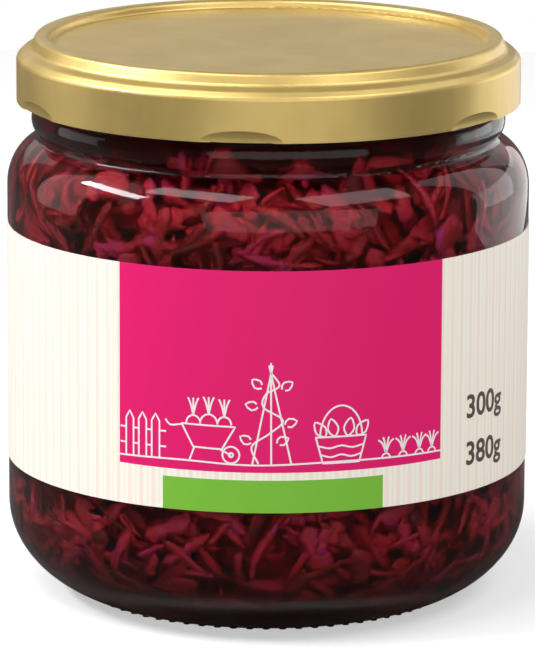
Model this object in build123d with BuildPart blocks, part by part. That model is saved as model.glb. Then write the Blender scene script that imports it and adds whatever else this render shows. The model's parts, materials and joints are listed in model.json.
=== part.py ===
# A squat glass jar of fermented red cabbage with a twist-off metal lid and a paper label.
# Millimetres, +Z up. The origin is the centre of the ring the jar stands on.
from build123d import *
from math import cos, degrees, radians, sin
import os

os.makedirs("parts", exist_ok=True)

# ---- Driving sizes ----
body_d = 88.5  # glass body, across the straight wall
lid_d = 85.2  # 82 mm twist-off lid, across its skirt
wall = 2.7  # glass wall
jar_height = 95.25  # from the table to the crest of the lid
neck_height = 25.25  # from the start of the shoulder to the crest of the lid
lid_height = 10.95
label_bottom_z = 23.25
label_height = 40.4
label_gap = 14.0  # bare strip of glass between the label's two ends, at the back
paper = 0.15  # label with its glue
headspace = 8.5  # from the rim down to the cabbage, hidden by the lid
sheet = 0.25  # lid metal

body_r = body_d / 2
lid_r = lid_d / 2
bore_r = body_r - wall
shoulder_z = jar_height - neck_height
lid_bottom_z = jar_height - lid_height
rim_z = jar_height - sheet
fill_level = rim_z - headspace

# Heel: the large rounding between the wall and the ring the jar stands on
heel_width, heel_height, heel_turn = 20.4, 16.35, radians(68.8)
heel_z = heel_height * sin(heel_turn)
foot_r = body_r - heel_width * (1 - cos(heel_turn))
foot_width = 2.2
punt_height = 3.0  # hollow under the base
punt_edge = 1.0

# Shoulder, groove and carrying bead, up to the rim that the lid closes on
bead_r, bead_z, bead_depth, bead_height = lid_r - 2.5, lid_bottom_z - 3.1, 1.8, 2.6
groove_r = bead_r - 1.1
shoulder_height, shoulder_turn = 8.08, radians(71.3)
shoulder_end_r = groove_r + 0.58
shoulder_end_z = shoulder_z + shoulder_height * sin(shoulder_turn)
shoulder_width = (body_r - shoulder_end_r) / (1 - cos(shoulder_turn))
rim_outer_r, rim_inner_r = lid_r - 3.3, lid_r - 5.4
rim_outer_round, rim_inner_round = 0.8, 0.9

# Inside of the glass
floor_z = 5.0  # lowest ring of the inside
floor_rise = 2.2  # how far the middle of the floor stands above it
inner_heel_width, inner_heel_height = 17.8, 12.0

# Lid
curl_width, curl_height = 1.5, 2.7  # rolled lower edge
shoulder_drop, shoulder_slope = 2.65, 1.0  # below the crest
ring_inner_r, ring_outer_r = lid_r - 5.5, lid_r - 3.3
ring_foot_r, ring_foot_drop = lid_r - 2.4, 2.0
panel_r, panel_drop = lid_r - 5.9, 1.5
panel_round, ring_round, ring_foot_round, shoulder_round, curl_round = 0.5, 0.9, 1.0, 0.9, 0.6
lug_count, lug_depth, lug_tool_r = 6, 0.55, 4.0
lug_first_angle = -6.0  # degrees, from the front of the jar

# Stippling round the foot
stipple_count, stipple_length, stipple_width = 72, 1.6, 1.2
stipple_reach = 0.75  # how far each bar reaches out past the foot
stipple_inside = 0.8  # how far each bar is sunk in the glass

# ---- The space inside the glass, used to hollow the jar and to shape the filling ----
with BuildPart() as bore_space:
    with BuildSketch(Plane.XZ):
        with BuildLine():
            floor_edge_r = bore_r - inner_heel_width
            Spline((0, floor_z + floor_rise), (floor_edge_r, floor_z), tangents=((1, 0), (1, 0)))
            inner_heel = EllipticalCenterArc(
                (floor_edge_r, floor_z + inner_heel_height),
                inner_heel_width,
                inner_heel_height,
                start_angle=270,
                arc_size=90,
            )
            Line(inner_heel @ 1, (bore_r, shoulder_z))
            Spline((bore_r, shoulder_z), (rim_inner_r, bead_z), tangents=((0, 1), (0, 1)))
            Polyline((rim_inner_r, bead_z), (rim_inner_r, rim_z), (0, rim_z), (0, floor_z + floor_rise))
        make_face()
    revolve(axis=Axis.Z)

# ---- Glass jar ----
with BuildPart() as glass_jar:
    with BuildSketch(Plane.XZ) as glass_section:
        with BuildLine():
            punt = Spline(
                (0, punt_height), (foot_r - foot_width, punt_edge), tangents=((1, 0), (1, -0.5))
            )
            land = Polyline(punt @ 1, (foot_r - foot_width, 0), (foot_r, 0))
            heel = EllipticalCenterArc(
                (body_r - heel_width, heel_z),
                heel_width,
                heel_height,
                start_angle=-degrees(heel_turn),
                arc_size=degrees(heel_turn),
            )
            Line(heel @ 1, (body_r, shoulder_z))
            shoulder = EllipticalCenterArc(
                (body_r - shoulder_width, shoulder_z),
                shoulder_width,
                shoulder_height,
                start_angle=0,
                arc_size=degrees(shoulder_turn),
            )
            bead = EllipticalCenterArc(
                (bead_r - bead_depth, bead_z),
                bead_depth,
                bead_height,
                start_angle=-60,
                arc_size=110,
            )
            ThreePointArc(shoulder @ 1, (groove_r, (shoulder_end_z + (bead @ 0).Y) / 2), bead @ 0)
            Polyline(bead @ 1, (rim_outer_r, (bead @ 1).Y), (rim_outer_r, rim_z), (0, rim_z), (0, punt_height))
        make_face()
    revolve(axis=Axis.Z)
    # short bars stand out of the heel round the foot and lie flush with the table
    with BuildSketch(Plane.XY):
        with PolarLocations(foot_r + stipple_reach - stipple_length / 2, stipple_count):
            SlotOverall(stipple_length, stipple_width)
    extrude(amount=stipple_inside)
    add(bore_space.part, mode=Mode.SUBTRACT)
    for edge_r, rounding in ((rim_outer_r, rim_outer_round), (rim_inner_r, rim_inner_round)):
        rim_edges = glass_jar.edges().filter_by(GeomType.CIRCLE)
        fillet(rim_edges.sort_by_distance((edge_r, 0, rim_z))[0], radius=rounding)

# ---- Twist-off lid, closed on the rim ----
with BuildPart() as lid:
    with BuildSketch(Plane.XZ):
        with BuildLine():
            Polyline(
                (0, lid_bottom_z),
                (lid_r, lid_bottom_z),
                (lid_r, jar_height - shoulder_drop - shoulder_slope),
                (lid_r - shoulder_slope, jar_height - shoulder_drop),
                (ring_foot_r, jar_height - ring_foot_drop),
                (ring_outer_r, jar_height),
                (ring_inner_r, jar_height),
                (panel_r, jar_height - panel_drop),
                (0, jar_height - panel_drop),
                close=True,
            )
        make_face()
    revolve(axis=Axis.Z)
    for radius, at_r, at_z in (
        (panel_round, panel_r, jar_height - panel_drop),
        (ring_round, ring_inner_r, jar_height),
        (ring_round, ring_outer_r, jar_height),
        (ring_foot_round, ring_foot_r, jar_height - ring_foot_drop),
        (shoulder_round, lid_r - shoulder_slope, jar_height - shoulder_drop),
        (shoulder_round, lid_r, jar_height - shoulder_drop - shoulder_slope),
    ):
        edge = lid.edges().filter_by(GeomType.CIRCLE).sort_by_distance((at_r, 0, at_z))[0]
        fillet(edge, radius=radius)
    offset(amount=-sheet, openings=lid.faces().sort_by(Axis.Z)[0])
    # rolled lower edge
    with BuildSketch(Plane.XZ):
        with Locations((lid_r - curl_width / 2, lid_bottom_z + curl_height / 2)):
            curl = Rectangle(curl_width, curl_height)
        fillet(curl.vertices().sort_by(Axis.Y)[:2], radius=curl_round)
    revolve(axis=Axis.Z)
    # a shallow scoop in the lower edge where each lug is pressed in
    with PolarLocations(lid_r - lug_depth + lug_tool_r, lug_count, start_angle=lug_first_angle - 90):
        with Locations((0, 0, lid_bottom_z)):
            Cylinder(lug_tool_r, lid_r, rotation=(90, 0, 0), mode=Mode.SUBTRACT)

# ---- Paper label, glued round the straight wall with a gap at the back ----
with BuildPart() as label:
    half_gap = degrees(label_gap / 2 / body_r)
    with BuildSketch(Plane.YZ.rotated((0, 0, half_gap))):
        with Locations((body_r + paper / 2, label_bottom_z + label_height / 2)):
            Rectangle(paper, label_height)
    revolve(axis=Axis.Z, revolution_arc=360 - 2 * half_gap)

# ---- Shredded cabbage and its juice ----
with BuildPart() as cabbage_filling:
    add(bore_space.part)
    split(bisect_by=Plane.XY.offset(fill_level), keep=Keep.BOTTOM)

for name, piece in (
    ("glass_jar", glass_jar),
    ("lid", lid),
    ("label", label),
    ("cabbage_filling", cabbage_filling),
):
    piece.part.label = name
    export_step(piece.part, f"parts/{name}.step")
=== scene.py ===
import json
import math

import bpy
import numpy as np
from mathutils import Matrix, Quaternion, Vector

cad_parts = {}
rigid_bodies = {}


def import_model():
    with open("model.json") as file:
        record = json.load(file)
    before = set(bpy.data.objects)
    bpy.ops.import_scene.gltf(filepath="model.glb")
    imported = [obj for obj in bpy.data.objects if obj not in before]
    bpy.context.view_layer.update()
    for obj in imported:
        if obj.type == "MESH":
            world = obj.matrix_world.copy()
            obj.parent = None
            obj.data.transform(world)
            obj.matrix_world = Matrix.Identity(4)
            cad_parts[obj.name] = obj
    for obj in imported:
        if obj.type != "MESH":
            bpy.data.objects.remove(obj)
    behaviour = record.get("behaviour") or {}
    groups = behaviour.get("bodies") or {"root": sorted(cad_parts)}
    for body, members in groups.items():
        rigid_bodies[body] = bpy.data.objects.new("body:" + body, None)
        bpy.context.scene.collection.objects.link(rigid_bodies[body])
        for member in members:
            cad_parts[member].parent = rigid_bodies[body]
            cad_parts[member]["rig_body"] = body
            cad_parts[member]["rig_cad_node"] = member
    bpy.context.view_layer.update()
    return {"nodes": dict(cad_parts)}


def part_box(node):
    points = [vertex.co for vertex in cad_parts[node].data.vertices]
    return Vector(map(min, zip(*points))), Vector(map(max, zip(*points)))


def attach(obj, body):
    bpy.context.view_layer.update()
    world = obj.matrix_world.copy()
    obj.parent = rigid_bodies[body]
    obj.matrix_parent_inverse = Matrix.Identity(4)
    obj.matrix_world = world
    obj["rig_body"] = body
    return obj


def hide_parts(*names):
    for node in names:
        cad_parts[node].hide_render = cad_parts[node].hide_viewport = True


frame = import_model()
scene = bpy.context.scene
MM = 0.001


# ---- Cabbage juice ----
# The brine the cabbage was fermented in, dyed deep crimson, up to a level in the neck.
# It reaches just into the wall of the glass, so that no air shows between the two.
def linear(hex_colour):
    """The linear colour, with full alpha, of an sRGB hex value."""
    channels = [int(hex_colour[i : i + 2], 16) / 255 for i in (1, 3, 5)]
    return (*[c / 12.92 if c <= 0.04045 else ((c + 0.055) / 1.055) ** 2.4 for c in channels], 1.0)


def add_node(tree, kind, inputs=None, **settings):
    """Adds a node with its settings, and sets or links each of its inputs."""
    node = tree.nodes.new(kind)
    for name, value in settings.items():
        setattr(node, name, value)
    for name, value in (inputs or {}).items():
        if isinstance(value, bpy.types.NodeSocket):
            tree.links.new(value, node.inputs[name])
        else:
            node.inputs[name].default_value = value
    return node


def new_material(name):
    """An empty node material and its output node."""
    material = bpy.data.materials.new(name)
    material.use_nodes = True
    material.node_tree.nodes.clear()
    return material, material.node_tree, add_node(material.node_tree, "ShaderNodeOutputMaterial")


def finish_with(piece, material):
    """Puts one material in every slot of a piece."""
    if not piece.material_slots:
        piece.data.materials.append(material)
    for slot in piece.material_slots:
        slot.material = material


def deselect_all():
    """Leaves no piece selected."""
    for piece in bpy.context.selected_objects:
        piece.select_set(False)


def activate(piece):
    """Makes one piece the only one that Blender's tools work on."""
    deselect_all()
    piece.select_set(True)
    bpy.context.view_layer.objects.active = piece


def copy_of(cad_name, name):
    """A copy of a CAD piece, free of its node, to be worked on."""
    piece = frame["nodes"][cad_name].copy()
    piece.data = piece.data.copy()
    piece.parent = None
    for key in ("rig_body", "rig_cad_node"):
        del piece[key]
    piece.name = piece.data.name = name
    scene.collection.objects.link(piece)
    return piece


def filling_copy(name, grow):
    """A closed copy of the CAD filling, with its skin moved out by grow metres."""
    weld = 0.01 * MM
    sharp_edge = math.radians(40)
    piece = copy_of("cabbage_filling", name)
    activate(piece)
    bpy.ops.mesh.customdata_custom_splitnormals_clear()
    bpy.ops.object.mode_set(mode="EDIT")
    bpy.ops.mesh.select_all(action="SELECT")
    bpy.ops.mesh.remove_doubles(threshold=weld)
    bpy.ops.mesh.normals_make_consistent(inside=False)
    bpy.ops.transform.shrink_fatten(value=grow)
    bpy.ops.object.mode_set(mode="OBJECT")
    bpy.ops.object.shade_smooth_by_angle(angle=sharp_edge)
    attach(piece, "root")
    return piece


wall_bite = 0.05 * MM
juice = filling_copy("juice", wall_bite)
# brine clouded by the ferment: it blurs what lies deep in it, and takes out green light first
brine, tree, output = new_material("red_cabbage_brine")
brine_shader = add_node(
    tree,
    "ShaderNodeBsdfPrincipled",
    {
        "Base Color": linear("#FFFFFF"),
        "Roughness": 0.28,
        "IOR": 1.34,
        "Transmission Weight": 1.0,
        "Specular Tint": linear("#101010"),
    },
)
brine_tint = add_node(
    tree, "ShaderNodeVolumeAbsorption", {"Color": linear("#E1107C"), "Density": 160.0}
)
tree.links.new(brine_shader.outputs["BSDF"], output.inputs["Surface"])
tree.links.new(brine_tint.outputs["Volume"], output.inputs["Volume"])
finish_with(juice, brine)


# ---- Glass jar ----
# Pressed soda-lime glass, fire-polished, on a stippled foot: the CAD piece in two materials.
# It is clear and smooth, with a slow ripple in the wall that bends its reflections.
jar = copy_of("glass_jar", "pressed_glass_jar")
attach(jar, "root")
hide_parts("glass_jar")
jar.data.materials.clear()
ripple_width, ripple_height = 14 * MM, 0.5 * MM
# wetted glass hardly mirrors, because brine bends light nearly as much as glass does
for name, mirror in (("soda_lime_glass_pressed", "#A8A8A8"), ("soda_lime_glass_wetted", "#101010")):
    glass, tree, output = new_material(name)
    place = add_node(tree, "ShaderNodeTexCoord").outputs["Object"]
    ripple = add_node(
        tree,
        "ShaderNodeTexNoise",
        {"Vector": place, "Scale": 1 / ripple_width, "Detail": 1.0, "Roughness": 0.4},
    )
    ripple_bump = add_node(
        tree,
        "ShaderNodeBump",
        {"Height": ripple.outputs["Fac"], "Strength": 0.12, "Distance": ripple_height},
    )
    glass_shader = add_node(
        tree,
        "ShaderNodeBsdfPrincipled",
        {
            "Base Color": linear("#F6FAF7"),
            "Roughness": 0.0,
            "IOR": 1.52,
            "Transmission Weight": 1.0,
            "Specular Tint": linear(mirror),
            "Normal": ripple_bump.outputs["Normal"],
        },
    )
    tree.links.new(glass_shader.outputs["BSDF"], output.inputs["Surface"])
    jar.data.materials.append(glass)
# the second material goes on the faces that the juice touches
wet_reach = 0.3 * MM
wet = []
for vertex in jar.data.vertices:
    nearest = juice.closest_point_on_mesh(vertex.co)[1]
    wet.append((nearest - vertex.co).length < wet_reach)
for face in jar.data.polygons:
    face.material_index = int(any(wet[v] for v in face.vertices))


# ---- Cabbage core ----
# The imported cabbage behind the outer shreds, in one lump with a rough, stringy surface.
# It lies too deep in the juice to be told apart, so its strings are relief, and its dark colour is
# painted shade.
shred_layer = 6.5 * MM
core = filling_copy("cabbage_core", -shred_layer)
remesh = core.modifiers.new("even_faces", "REMESH")
remesh.mode = "VOXEL"
remesh.voxel_size = 1.5 * MM
lumps = bpy.data.textures.new("cabbage_lumps", "CLOUDS")
lumps.noise_scale = 7 * MM
lumps.noise_depth = 2
relief = core.modifiers.new("relief", "DISPLACE")
relief.texture = lumps
relief.texture_coords = "LOCAL"
relief.strength = 4.5 * MM
relief.mid_level = 0.6
activate(core)
for modifier in ("even_faces", "relief"):
    bpy.ops.object.modifier_apply(modifier=modifier)
bpy.ops.object.shade_smooth()
lump, tree, output = new_material("packed_red_cabbage")
place = add_node(tree, "ShaderNodeTexCoord").outputs["Object"]
string_width, string_height = 4 * MM, 1.0 * MM
strings = add_node(
    tree,
    "ShaderNodeTexNoise",
    {"Vector": place, "Scale": 1 / string_width, "Detail": 3.0, "Distortion": 1.2},
)
# cabbage red, painted darker than the shreds as shade for its depth in the jar
lump_colour_and_shade = add_node(tree, "ShaderNodeValToRGB", {"Fac": strings.outputs["Fac"]})
lump_colour_and_shade.color_ramp.elements[0].position = 0.35
lump_colour_and_shade.color_ramp.elements[0].color = linear("#5A0E1C")
lump_colour_and_shade.color_ramp.elements[1].position = 0.7
lump_colour_and_shade.color_ramp.elements[1].color = linear("#A01C34")
lump_bump = add_node(
    tree,
    "ShaderNodeBump",
    {"Height": strings.outputs["Fac"], "Strength": 0.6, "Distance": string_height},
)
lump_shader = add_node(
    tree,
    "ShaderNodeBsdfPrincipled",
    {
        "Base Color": lump_colour_and_shade.outputs["Color"],
        "Roughness": 0.6,
        "Normal": lump_bump.outputs["Normal"],
    },
)
tree.links.new(lump_shader.outputs["BSDF"], output.inputs["Surface"])
finish_with(core, lump)

# ---- Cabbage shreds ----
# Raw red cabbage cut in strips, limp from the brine and pressed against the glass: thin shreds,
# and broader pieces of leaf. Each follows the inside of the jar in a slow curve.
filling_mesh = frame["nodes"]["cabbage_filling"].data
points = np.zeros(len(filling_mesh.vertices) * 3)
filling_mesh.vertices.foreach_get("co", points)
points = points.reshape(-1, 3)
# the outline of the filling, radius and height, from its floor up the wall to just under its top
section = np.stack([np.hypot(points[:, 0], points[:, 1]), points[:, 2]], 1)
section = np.unique(np.round(section, 5), axis=0)
middle = np.array([12 * MM, 45 * MM])
fill_top = section[:, 1].max()
section = section[(section[:, 0] > middle[0]) & (section[:, 1] < fill_top - 0.1 * MM)]
turn = np.arctan2(section[:, 1] - middle[1], section[:, 0] - middle[0])
section = section[np.argsort(turn)]
run = np.concatenate([[0], np.cumsum(np.hypot(*np.diff(section, axis=0).T))])
wall_step = 0.5 * MM
wall_run = np.arange(0, run[-1], wall_step)
wall_r = np.interp(wall_run, run, section[:, 0])
wall_z = np.interp(wall_run, run, section[:, 1])
# its slope, averaged over a few steps, and from that the way in from the glass
window = 7
average = np.ones(window) / window
slope_r, slope_z = (
    np.convolve(np.gradient(np.pad(wall, window // 2, mode="edge")), average, mode="valid")
    for wall in (wall_r, wall_z)
)
slope = np.hypot(slope_r, slope_z)
inward_r, inward_z = -slope_z / slope, slope_r / slope
wall_end = wall_run[-1]
end_margin = 2 * MM


def cut_strips(name, seed, count, steps, sides, length, width, thickness, depth):
    """Strips of leaf, each length, width, thickness and depth from the glass a range in mm."""
    rng = np.random.default_rng(seed)
    length, width, thickness = (
        rng.uniform(*span, count) * MM for span in (length, width, thickness)
    )
    # how each strip is rolled, and how deep it lies, with its edges clear of the glass
    clearance = 0.12 * MM
    roll = rng.normal(0, 0.35, count)
    sink = (depth[0] + (depth[1] - depth[0]) * rng.random(count) ** 1.4) * MM
    sink = np.maximum(sink, width / 2 * np.abs(np.sin(roll)) + thickness / 2 + clearance)
    heading, bend_phase, around = (rng.uniform(0, 2 * np.pi, count) for _ in range(3))
    bend = rng.normal(0, 0.5, count)
    along = rng.uniform(end_margin, wall_end - end_margin, count)
    step = length / steps
    # the middle line of each strip, walked along the glass and round the jar
    path, outward = [], []
    for i in range(steps + 1):
        along = np.clip(along, end_margin, wall_end - end_margin / 2)
        sway = sink + 0.5 * MM * (1 + np.sin(bend_phase + i * 0.6)) * (sink > 1.5 * MM)
        lean_r = np.interp(along, wall_run, inward_r)
        lean_z = np.interp(along, wall_run, inward_z)
        r = np.interp(along, wall_run, wall_r) + lean_r * sway
        z = np.interp(along, wall_run, wall_z) + lean_z * sway
        path.append(np.stack([r * np.cos(around), r * np.sin(around), z], 1))
        outward.append(
            np.stack([-lean_r * np.cos(around), -lean_r * np.sin(around), -lean_z], 1)
        )
        direction = heading + bend * np.sin(bend_phase + 2.6 * i / steps)
        along = along + step * np.sin(direction)
        around = around + step * np.cos(direction) / r
    path, outward = np.stack(path, 1), np.stack(outward, 1)
    forward = np.gradient(path, axis=1)
    forward /= np.linalg.norm(forward, axis=2, keepdims=True)
    across = np.cross(forward, outward)
    across /= np.linalg.norm(across, axis=2, keepdims=True)
    up = np.cross(across, forward)
    cos_roll, sin_roll = np.cos(roll)[:, None, None], np.sin(roll)[:, None, None]
    across, up = cos_roll * across + sin_roll * up, cos_roll * up - sin_roll * across
    # flattened rings round the middle line, wavering in width and drawn in at both ends
    share = np.linspace(0, 1, steps + 1)
    taper = (1 - np.abs(2 * share - 1) ** 5 * 0.85)[None, :, None]
    waver = (
        1
        + 0.25 * np.sin(bend_phase[:, None] * 3 + share[None, :] * 9)
        + 0.15 * np.sin(share[None, :] * 21)
    )
    rings = []
    for side in range(sides):
        turn = 2 * np.pi * side / sides
        half_width = (width[:, None] / 2 * waver)[:, :, None] * taper * math.cos(turn)
        half_thickness = (thickness / 2)[:, None, None] * taper * math.sin(turn)
        rings.append(path + half_width * across + half_thickness * up)
    corners = np.stack(rings, 2).reshape(-1, 3)
    faces = []
    for strip in range(count):
        first = strip * (steps + 1) * sides
        last = first + steps * sides
        for ring_start in range(first, last, sides):
            for side in range(sides):
                a, b = ring_start + side, ring_start + (side + 1) % sides
                faces.append((a, b, b + sides, a + sides))
        faces.append(tuple(range(first + sides - 1, first - 1, -1)))
        faces.append(tuple(range(last, last + sides)))
    mesh = bpy.data.meshes.new(name)
    mesh.from_pydata(corners.tolist(), [], faces)
    mesh.validate()
    # a number from 0 to 1 for each strip, which its material turns into a shade of red
    tint = mesh.attributes.new("tint", "FLOAT", "POINT")
    shades = np.repeat(rng.random(count), (steps + 1) * sides).astype(np.float32)
    tint.data.foreach_set("value", shades)
    strips = bpy.data.objects.new(name, mesh)
    scene.collection.objects.link(strips)
    activate(strips)
    bpy.ops.object.mode_set(mode="EDIT")
    bpy.ops.mesh.select_all(action="SELECT")
    bpy.ops.mesh.normals_make_consistent(inside=False)
    bpy.ops.object.mode_set(mode="OBJECT")
    bpy.ops.object.shade_smooth()
    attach(strips, "root")
    return strips


shreds = cut_strips(
    "cabbage_shreds",
    seed=11,
    count=2700,
    steps=8,
    sides=4,
    length=(4, 15),
    width=(0.9, 2.6),
    thickness=(0.4, 0.8),
    depth=(0.4, 5.5),
)
leaf_pieces = cut_strips(
    "cabbage_leaf_pieces",
    seed=23,
    count=1750,
    steps=8,
    sides=6,
    length=(4, 12),
    width=(2.0, 4.6),
    thickness=(0.5, 1.1),
    depth=(0.3, 6.5),
)
for piece in (juice, core, shreds, leaf_pieces):
    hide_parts("cabbage_filling")

shred, tree, output = new_material("shredded_red_cabbage")
place = add_node(tree, "ShaderNodeTexCoord").outputs["Object"]
own_tint = add_node(tree, "ShaderNodeAttribute", attribute_name="tint", attribute_type="GEOMETRY")
blotch_width = 6 * MM
blotch = add_node(
    tree,
    "ShaderNodeTexNoise",
    {"Vector": place, "Scale": 1 / blotch_width, "Detail": 3.0, "Distortion": 0.6},
)
patchy = add_node(
    tree, "ShaderNodeMapRange", {"Value": blotch.outputs["Fac"], "From Min": 0.3, "From Max": 0.7}
)
dyed = add_node(
    tree,
    "ShaderNodeMix",
    {"Factor": 0.6, "A": own_tint.outputs["Fac"], "B": patchy.outputs["Result"]},
)
shred_colour = add_node(tree, "ShaderNodeValToRGB", {"Fac": dyed.outputs["Result"]})
ramp = shred_colour.color_ramp
ramp.elements[0].position, ramp.elements[0].color = 0.15, linear("#800E1C")
ramp.elements[1].position, ramp.elements[1].color = 0.92, linear("#F03490")
for position, hex_colour in ((0.36, "#BE1824"), (0.56, "#EE2A3C"), (0.74, "#EC2C5C")):
    ramp.elements.new(position).color = linear(hex_colour)
fibre_width, fibre_height = 0.8 * MM, 0.3 * MM
fibre = add_node(
    tree, "ShaderNodeTexNoise", {"Vector": place, "Scale": 1 / fibre_width, "Detail": 2.0}
)
fibre_bump = add_node(
    tree,
    "ShaderNodeBump",
    {"Height": fibre.outputs["Fac"], "Strength": 0.8, "Distance": fibre_height},
)
shred_shader = add_node(
    tree,
    "ShaderNodeBsdfPrincipled",
    {
        "Base Color": shred_colour.outputs["Color"],
        "Roughness": 0.5,
        "Normal": fibre_bump.outputs["Normal"],
    },
)
tree.links.new(shred_shader.outputs["BSDF"], output.inputs["Surface"])
for piece in (shreds, leaf_pieces):
    finish_with(piece, shred)

# ---- Twist-off lid ----
# Stamped tinplate with a gold lacquer, rolled under at its lower edge and pressed in at six lugs.
# The lacquer is satin: it keeps broad highlights and a faint brushed grain from the rolled sheet.
lacquer, tree, output = new_material("gold_lacquered_tinplate")
place = add_node(tree, "ShaderNodeTexCoord").outputs["Object"]
grain_width, grain_height, patch_width = 1.2 * MM, 0.1 * MM, 9 * MM
grain_place = add_node(tree, "ShaderNodeMapping", {"Vector": place, "Scale": (1.0, 1.0, 0.08)})
grain = add_node(
    tree,
    "ShaderNodeTexNoise",
    {"Vector": grain_place.outputs["Vector"], "Scale": 1 / grain_width, "Detail": 4.0},
)
patch = add_node(
    tree, "ShaderNodeTexNoise", {"Vector": place, "Scale": 1 / patch_width, "Detail": 2.0}
)
lacquer_colour = add_node(tree, "ShaderNodeValToRGB", {"Fac": patch.outputs["Fac"]})
lacquer_colour.color_ramp.elements[0].position = 0.3
lacquer_colour.color_ramp.elements[0].color = linear("#CDB068")
lacquer_colour.color_ramp.elements[1].position = 0.7
lacquer_colour.color_ramp.elements[1].color = linear("#D8BC74")
sheen = add_node(
    tree, "ShaderNodeMapRange", {"Value": grain.outputs["Fac"], "To Min": 0.34, "To Max": 0.46}
)
grain_bump = add_node(
    tree,
    "ShaderNodeBump",
    {"Height": grain.outputs["Fac"], "Strength": 0.08, "Distance": grain_height},
)
lacquer_shader = add_node(
    tree,
    "ShaderNodeBsdfPrincipled",
    {
        "Base Color": lacquer_colour.outputs["Color"],
        "Metallic": 0.75,
        "Roughness": sheen.outputs["Result"],
        "Coat Weight": 0.2,
        "Coat Roughness": 0.12,
        "Normal": grain_bump.outputs["Normal"],
    },
)
tree.links.new(lacquer_shader.outputs["BSDF"], output.inputs["Surface"])
finish_with(frame["nodes"]["lid"], lacquer)

# ---- Paper label ----
# Coated paper, printed: cream with thin upright stripes, a magenta field and a green band.
# The print is flat colour, laid out in millimetres: print_x round the jar from the middle of the
# front, and print_y up from the label's lower edge.
label_node = frame["nodes"]["label"]
label_low, label_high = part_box("label")
label_r = label_high.x
paper, tree, output = new_material("printed_coated_paper")
place = add_node(tree, "ShaderNodeTexCoord").outputs["Object"]
split = add_node(tree, "ShaderNodeSeparateXYZ", {"Vector": place})
front = add_node(tree, "ShaderNodeMath", {0: split.outputs["Y"], 1: -1.0}, operation="MULTIPLY")
angle = add_node(
    tree, "ShaderNodeMath", {0: split.outputs["X"], 1: front.outputs["Value"]}, operation="ARCTAN2"
)
print_x = add_node(
    tree, "ShaderNodeMath", {0: angle.outputs["Value"], 1: label_r / MM}, operation="MULTIPLY"
).outputs["Value"]
print_y = add_node(
    tree,
    "ShaderNodeMapRange",
    {"Value": split.outputs["Z"], "From Min": label_low.z, "From Max": label_low.z + MM},
    clamp=False,
).outputs["Result"]


def between(tree, value, low, high):
    """1 where value lies between low and high, and 0 elsewhere."""
    inside = add_node(
        tree,
        "ShaderNodeMath",
        {0: value, 1: (low + high) / 2, 2: (high - low) / 2},
        operation="COMPARE",
    )
    return inside.outputs["Value"]


def both(tree, first, second):
    """1 where two masks are both 1, and 0 elsewhere."""
    product = add_node(tree, "ShaderNodeMath", {0: first, 1: second}, operation="MULTIPLY")
    return product.outputs["Value"]


def painted(tree, under, mask, colour):
    """The colour under, with another painted over it where the mask is 1."""
    mix = add_node(
        tree,
        "ShaderNodeMix",
        {"Factor": mask, "A": under, "B": colour},
        data_type="RGBA",
        clamp_factor=True,
    )
    return mix.outputs["Result"]


stripe_repeat = 4.4
stripe_place = add_node(
    tree, "ShaderNodeMath", {0: print_x, 1: stripe_repeat}, operation="FLOORED_MODULO"
).outputs["Value"]
surface = linear("#FAF5EB")
for low, high, ink in (
    (0.2, 0.9, "#F8E6D8"),
    (1.5, 2.0, "#F7F0DC"),
    (2.4, 3.2, "#F9E9DE"),
    (3.7, 4.1, "#F6EEDA"),
):
    surface = painted(tree, surface, between(tree, stripe_place, low, high), linear(ink))
field_left, field_right, field_bottom = -25.6, 31.1, 6.8
band_left, band_right, band_top = -17.5, 19.7, 5.5
above_label, below_label = 60, -1  # past the edges, where the print runs off the paper
field = both(
    tree,
    between(tree, print_x, field_left, field_right),
    between(tree, print_y, field_bottom, above_label),
)
surface = painted(tree, surface, field, linear("#E2146C"))
band = both(
    tree,
    between(tree, print_x, band_left, band_right),
    between(tree, print_y, below_label, band_top),
)
surface = painted(tree, surface, band, linear("#7ABD3A"))
paper_fibre, paper_relief = 0.6 * MM, 0.05 * MM
fibres = add_node(
    tree, "ShaderNodeTexNoise", {"Vector": place, "Scale": 1 / paper_fibre, "Detail": 3.0}
)
fibres_bump = add_node(
    tree,
    "ShaderNodeBump",
    {"Height": fibres.outputs["Fac"], "Strength": 0.1, "Distance": paper_relief},
)
paper_shader = add_node(
    tree,
    "ShaderNodeBsdfPrincipled",
    {
        "Base Color": surface,
        "Roughness": 0.55,
        "Specular IOR Level": 0.25,
        "Normal": fibres_bump.outputs["Normal"],
    },
)
tree.links.new(paper_shader.outputs["BSDF"], output.inputs["Surface"])
finish_with(label_node, paper)

# ---- Garden drawing ----
# A line drawing in white on the magenta field: a fence, a barrow, beanpoles, a basket and carrots.
# The ink is a film on the paper, drawn with a soft pen, so its lines are even and turn roundly.
# Its points are in millimetres on the unrolled label, as print_x and print_y are.
ink_height = 0.01 * MM
point_spacing = 0.5


def wrapped(points):
    """Points on the unrolled label, brought round the jar just above its paper."""
    r = label_r + ink_height
    turn = np.asarray(points)[:, 0] * MM / label_r
    z = label_low.z + np.asarray(points)[:, 1] * MM
    return np.stack([r * np.sin(turn), -r * np.cos(turn), z], 1)


def pen_line(points, closed=False):
    """A smooth line through the points."""
    points = np.asarray(points, float)
    line = []
    count = len(points) if closed else len(points) - 1
    for i in range(count):
        a, b = points[i], points[(i + 1) % len(points)]
        before = points[i - 1] if closed or i else 2 * a - b
        after = points[(i + 2) % len(points)] if closed or i + 2 < len(points) else 2 * b - a
        steps = max(2, int(np.hypot(*(b - a)) / point_spacing))
        for t in np.arange(steps) / steps:
            line.append(
                0.5
                * (
                    2 * a
                    + (b - before) * t
                    + (2 * before - 5 * a + 4 * b - after) * t**2
                    + (3 * a - before - 3 * b + after) * t**3
                )
            )
    if not closed:
        line.append(points[-1])
    return np.array(line)


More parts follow.
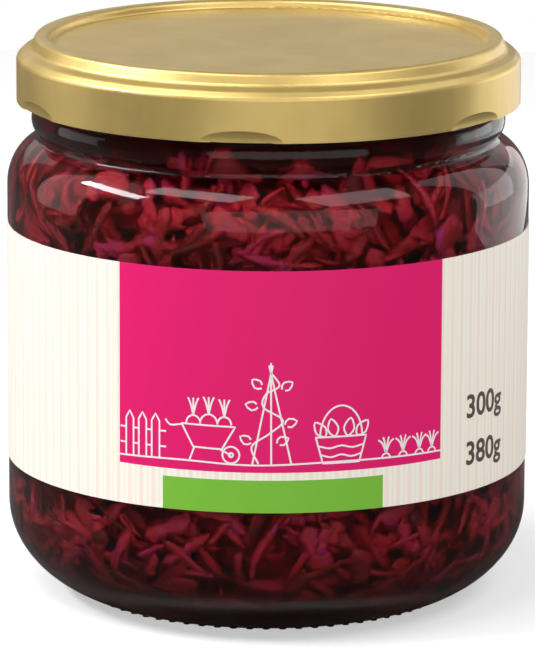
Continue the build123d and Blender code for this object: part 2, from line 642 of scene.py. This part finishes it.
def straight(*points):
    """A run of straight strokes from point to point."""
    line = []
    for a, b in zip(points[:-1], points[1:]):
        steps = max(2, int(math.dist(a, b) / point_spacing))
        line += [
            (a[0] + (b[0] - a[0]) * i / steps, a[1] + (b[1] - a[1]) * i / steps)
            for i in range(steps)
        ]
    return np.array([*line, points[-1]])


def ring(x, y, across, height, count=16, start=0.0, sweep=360.0):
    """Points round an oval, or along the part of it that sweep degrees cover."""
    turn = np.radians(start + sweep * np.arange(count + (sweep < 360)) / count)
    return np.stack([x + across * np.cos(turn), y + height * np.sin(turn)], 1)


def leaf(x, y, lean, length, half_width, widest):
    """A pointed leaf from its stalk at x, y, leaning lean radians from level."""
    tip = np.array([math.cos(lean), math.sin(lean)])
    side = np.array([-tip[1], tip[0]])
    root = np.array([x, y])
    left = root + tip * widest + side * half_width
    right = root + tip * widest - side * half_width
    return pen_line([root, left, root + tip * length, right], closed=True)


pen = 0.3  # line width
ground = 8.2
strokes = [
    pen_line(
        [
            (field_left, ground),
            (-14, ground + 0.25),
            (-2, ground - 0.15),
            (12, ground + 0.2),
            (field_right, ground),
        ]
    )
]
# fence
for x in (-23.6, -21.2, -18.8):
    strokes.append(
        straight(
            (x - 0.7, ground + 0.1),
            (x - 0.7, ground + 6.4),
            (x, ground + 7.6),
            (x + 0.7, ground + 6.4),
            (x + 0.7, ground + 0.1),
        )
    )
for y in (2.2, 4.8):
    for left, right in ((-25.4, -24.3), (-22.9, -21.9), (-20.5, -19.5), (-18.1, -16.9)):
        strokes.append(straight((left, ground + y), (right, ground + y)))
# barrow with round roots in it
strokes += [
    straight(
        (-14.2, ground + 6.4),
        (-5.2, ground + 6.2),
        (-7.4, ground + 2.4),
        (-12.2, ground + 2.6),
        (-14.2, ground + 6.4),
    ),
    pen_line([(-14.0, ground + 6.3), (-16.2, ground + 6.0), (-17.0, ground + 6.9)]),
    straight((-12.0, ground + 2.6), (-12.9, ground + 0.2)),
    pen_line(ring(-5.9, ground + 1.5, 1.4, 1.4), closed=True),
    pen_line(ring(-5.9, ground + 1.5, 0.35, 0.35, 8), closed=True),
    straight((-7.6, ground + 2.3), (-5.9, ground + 1.5)),
]
for x, size in ((-12.2, 1.2), (-9.6, 1.45), (-7.0, 1.15)):
    strokes.append(pen_line(ring(x, ground + 6.5, size, size * 1.15, 12, 0, 180)))
    for lean in (-0.9, 0.0, 0.9):
        strokes.append(
            pen_line(
                [
                    (x, ground + 6.5 + size * 1.15),
                    (x + lean * 0.5, ground + 8.6 + size),
                    (x + lean, ground + 9.6 + size),
                ]
            )
        )
# beanpoles with a climbing plant
strokes += [
    straight((-2.4, ground), (0.9, ground + 16.6)),
    straight((4.0, ground), (0.3, ground + 16.6)),
    straight((0.7, ground - 0.1), (0.6, ground + 17.0)),
    pen_line(
        [
            (-1.4, ground + 0.1),
            (-2.5, ground + 3.0),
            (0.4, ground + 5.2),
            (2.6, ground + 7.4),
            (-0.6, ground + 9.6),
            (-0.2, ground + 11.8),
            (2.0, ground + 13.2),
            (0.6, ground + 15.4),
        ]
    ),
]
for x, y, lean in (
    (-2.6, 3.6, 2.6),
    (2.9, 6.7, 0.3),
    (-1.5, 9.6, 2.9),
    (2.4, 12.6, 0.6),
    (-0.9, 12.8, 2.4),
    (1.6, 3.6, 0.4),
):
    strokes.append(leaf(x, ground + y, lean, length=2.1, half_width=0.75, widest=0.9))
# basket of greens
strokes += [
    straight(
        (8.0, ground + 4.4),
        (16.6, ground + 4.4),
        (15.4, ground),
        (9.2, ground),
        (8.0, ground + 4.4),
    ),
    pen_line(ring(12.3, ground + 4.4, 3.6, 5.2, 12, 0, 180)),
]
for weave_x, y in (((8.5, 10.4, 12.3, 14.2, 16.2), 2.9), ((8.9, 10.6, 12.3, 14.0, 15.8), 1.4)):
    weave_y = [ground + y, ground + y - 0.4, ground + y, ground + y - 0.4, ground + y]
    strokes.append(pen_line(list(zip(weave_x, weave_y))))
for x, lean in ((9.6, 2.2), (11.2, 1.8), (13.4, 1.4), (15.0, 0.9)):
    strokes.append(leaf(x, ground + 4.5, lean, length=3.0, half_width=0.9, widest=1.3))
# row of carrots in the ground
for x in (20.2, 23.4, 26.6, 29.2):
    strokes.append(pen_line(ring(x, ground, 0.8, 0.9, 8, 0, 180)))
    for lean in (-1.1, -0.4, 0.4, 1.1):
        strokes.append(
            pen_line(
                [
                    (x, ground + 0.9),
                    (x + lean * 0.6, ground + 2.6),
                    (x + lean * 1.3, ground + 3.9 - abs(lean) * 0.6),
                ]
            )
        )

# each line becomes a strip as wide as the pen, closed where its two ends meet
closing_gap, fewest_looped = 0.8, 10
ink_points, ink_faces = [], []
for line in strokes:
    looped = math.dist(line[0], line[-1]) < closing_gap and len(line) > fewest_looped
    if looped:
        following = np.roll(line, -1, axis=0) - np.roll(line, 1, axis=0)
    else:
        following = np.gradient(line, axis=0)
    following /= np.linalg.norm(following, axis=1, keepdims=True)
    aside = np.stack([-following[:, 1], following[:, 0]], 1) * pen / 2
    first = len(ink_points)
    for point, offset in zip(line, aside):
        ink_points += [point + offset, point - offset]
    count = len(line)
    for i in range(count if looped else count - 1):
        a, b = first + 2 * i, first + 2 * ((i + 1) % count)
        ink_faces.append((a, a + 1, b + 1, b))
drawing_mesh = bpy.data.meshes.new("garden_drawing")
drawing_mesh.from_pydata(wrapped(ink_points).tolist(), [], ink_faces)
drawing = bpy.data.objects.new("garden_drawing", drawing_mesh)
scene.collection.objects.link(drawing)
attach(drawing, "root")

# ---- Weights on the label ----
# The drained weight and the full weight, printed in dark brown ink on the right of the label.
# Each is cut in narrow slices, so that it can follow the jar, and laid on the paper as a film.
weights_left, weights_width, digit_height = 37.3, 10.5, 3.9
slice_width = 0.1
weights = []
for name, wording, line_y in (("drained_weight", "300g", 12.6), ("full_weight", "380g", 4.6)):
    deselect_all()
    bpy.ops.object.text_add(location=(0, 0, 0))
    number = bpy.context.object
    number.name = name
    number.data.body = wording
    number.data.size = 1.0
    number.data.offset = 0.02
    number.data.resolution_u = 6
    bpy.ops.object.convert(target="MESH")
    number = bpy.context.object
    bpy.ops.object.mode_set(mode="EDIT")
    across = [v.co.x for v in number.data.vertices]
    for slice_x in np.arange(min(across) + slice_width / 2, max(across), slice_width):
        bpy.ops.mesh.select_all(action="SELECT")
        bpy.ops.mesh.bisect(plane_co=(slice_x, 0, 0), plane_no=(1, 0, 0))
    bpy.ops.object.mode_set(mode="OBJECT")
    flat = np.array([v.co[:] for v in number.data.vertices])
    low_x, high_x = flat[:, 0].min(), flat[:, 0].max()
    digit_top = flat[:, 1].max()
    digit_x = weights_left + (flat[:, 0] - low_x) / (high_x - low_x) * weights_width
    digit_y = line_y + flat[:, 1] / digit_top * digit_height
    on_label = np.stack([digit_x, digit_y], 1)
    for vertex, place in zip(number.data.vertices, wrapped(on_label)):
        vertex.co = place
    number.data.update()
    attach(number, "root")
    weights.append(number)

for name, hex_colour, pieces in (
    ("printing_ink_white", "#FAEFF2", [drawing]),
    ("printing_ink_brown", "#54473A", weights),
):
    # litho ink soaks in unevenly, so its tone varies a little at the scale of the paper's fibres
    ink, tree, output = new_material(name)
    place = add_node(tree, "ShaderNodeTexCoord").outputs["Object"]
    fibres = add_node(
        tree, "ShaderNodeTexNoise", {"Vector": place, "Scale": 1 / paper_fibre, "Detail": 3.0}
    )
    tone = add_node(
        tree,
        "ShaderNodeMapRange",
        {"Value": fibres.outputs["Fac"], "To Min": 0.9, "To Max": 1.05},
    )
    ink_colour = add_node(
        tree,
        "ShaderNodeMix",
        {"Factor": 1.0, "A": linear(hex_colour), "B": tone.outputs["Result"]},
        data_type="RGBA",
        blend_type="MULTIPLY",
    )
    ink_shader = add_node(
        tree,
        "ShaderNodeBsdfPrincipled",
        {"Base Color": ink_colour.outputs["Result"], "Roughness": 0.45},
    )
    tree.links.new(ink_shader.outputs["BSDF"], output.inputs["Surface"])
    for piece in pieces:
        finish_with(piece, ink)

# ---- Floor, light and camera ----
# A white floor and backdrop under soft lamps, with a window on the left and a broad light in front.
# The camera stands a little above the lid and looks down on the jar through a long lens.
floor_size = 1.1
bpy.ops.mesh.primitive_plane_add(size=floor_size, location=(0, 0, 0))
floor = bpy.context.object
floor.name = "floor"
white_floor, tree, output = new_material("white_floor")
path_kind = add_node(tree, "ShaderNodeLightPath")
lit = add_node(tree, "ShaderNodeBsdfDiffuse", {"Color": linear("#C8C8C8")})
glow = add_node(tree, "ShaderNodeEmission", {"Color": linear("#FFFFFF"), "Strength": 0.44})
bright = add_node(
    tree, "ShaderNodeAddShader", {0: lit.outputs["BSDF"], 1: glow.outputs["Emission"]}
)
# the glass mirrors the floor only faintly, and light bounced off it lifts the foot of the jar
floor_tone = add_node(
    tree,
    "ShaderNodeMix",
    {"Factor": path_kind.outputs["Is Glossy Ray"], "A": linear("#969696"), "B": linear("#5C5C5C")},
    data_type="RGBA",
)
plain = add_node(tree, "ShaderNodeBsdfDiffuse", {"Color": floor_tone.outputs["Result"]})
seen = add_node(
    tree,
    "ShaderNodeMixShader",
    {
        0: path_kind.outputs["Is Camera Ray"],
        1: plain.outputs["BSDF"],
        2: bright.outputs["Shader"],
    },
)
tree.links.new(seen.outputs["Shader"], output.inputs["Surface"])
finish_with(floor, white_floor)

world = bpy.data.worlds.new("studio")
scene.world = world
world.use_nodes = True
tree = world.node_tree
tree.nodes.clear()
path_kind = add_node(tree, "ShaderNodeLightPath")
strength = add_node(
    tree,
    "ShaderNodeMapRange",
    {"Value": path_kind.outputs["Is Camera Ray"], "To Min": 0.12, "To Max": 1.0},
)
backdrop = add_node(
    tree,
    "ShaderNodeBackground",
    {"Color": linear("#FFFFFF"), "Strength": strength.outputs["Result"]},
)
add_node(tree, "ShaderNodeOutputWorld", {"Surface": backdrop.outputs["Background"]})

# azimuth and elevation from the front of the jar in degrees, and the rest in metres and watts
aim = Vector((0, 0, 50 * MM))
for name, azimuth, elevation, distance, breadth, height, watts in (
    ("window_left", -86, 40, 0.9, 0.55, 0.12, 6.5),
    ("fill_left", -104, 20, 0.9, 0.5, 1.0, 1.6),
    ("fill_right", 120, 24, 0.9, 0.5, 1.0, 1.8),
    ("card_right", 128, 4, 0.3, 0.35, 0.14, 0.2),
    ("overhead_left", -46, 60, 0.8, 0.5, 0.25, 2.8),
    ("overhead_right", 52, 52, 0.9, 0.6, 0.4, 3.0),
    ("front_fill", 10, 10, 2.2, 3.4, 1.8, 29.0),
    ("behind", 180, 24, 1.0, 1.4, 0.45, 0.9),
):
    lamp_data = bpy.data.lights.new(name, "AREA")
    lamp_data.shape = "RECTANGLE"
    lamp_data.size, lamp_data.size_y = breadth, height
    lamp_data.energy = watts
    lamp = bpy.data.objects.new(name, lamp_data)
    scene.collection.objects.link(lamp)
    a, e = math.radians(azimuth), math.radians(elevation)
    toward = Vector((math.sin(a) * math.cos(e), -math.cos(a) * math.cos(e), math.sin(e)))
    lamp.location = aim + distance * toward
    lamp.rotation_mode = "QUATERNION"
    lamp.rotation_quaternion = (aim - lamp.location).to_track_quat("-Z", "Y")

camera_data = bpy.data.cameras.new("camera")
camera_data.lens = 292.5
camera_data.sensor_width = 36.0
camera = bpy.data.objects.new("camera", camera_data)
scene.collection.objects.link(camera)
camera_distance, camera_height = 877.9 * MM, 239.9 * MM
camera.location = (0, -camera_distance, camera_height)
pitch, roll_angle = math.radians(12.51), math.radians(-0.25)
camera.rotation_mode = "QUATERNION"
gaze = Vector((0, math.cos(pitch), -math.sin(pitch)))
camera.rotation_quaternion = gaze.to_track_quat("-Z", "Y")
camera.rotation_quaternion.rotate(Quaternion(gaze, roll_angle))
scene.camera = camera
scene.view_settings.view_transform = "Standard"
